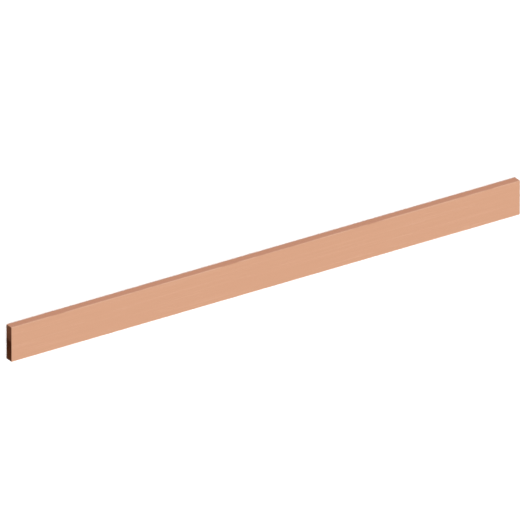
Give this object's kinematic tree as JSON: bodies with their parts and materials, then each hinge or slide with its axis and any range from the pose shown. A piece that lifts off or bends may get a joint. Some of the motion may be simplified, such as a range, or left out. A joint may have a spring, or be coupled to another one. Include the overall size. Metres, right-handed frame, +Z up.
{
  "type": "copper busbar",
  "caption": "Plain flat bar of solid copper with rounded long edges and square cut ends, which carries heavy current between joints clamped or bolted on its flat faces.",
  "frame": {"origin": "middle of the underside, on the surface that the bar lies on", "axes": "+X along the bar, +Y across its width, +Z up through its thickness"},
  "size_m": [0.4, 0.025, 0.006],
  "materials": {
    "copper": null
  },
  "bodies": {
    "root": {"busbar": "copper"}
  },
  "joints": []
}
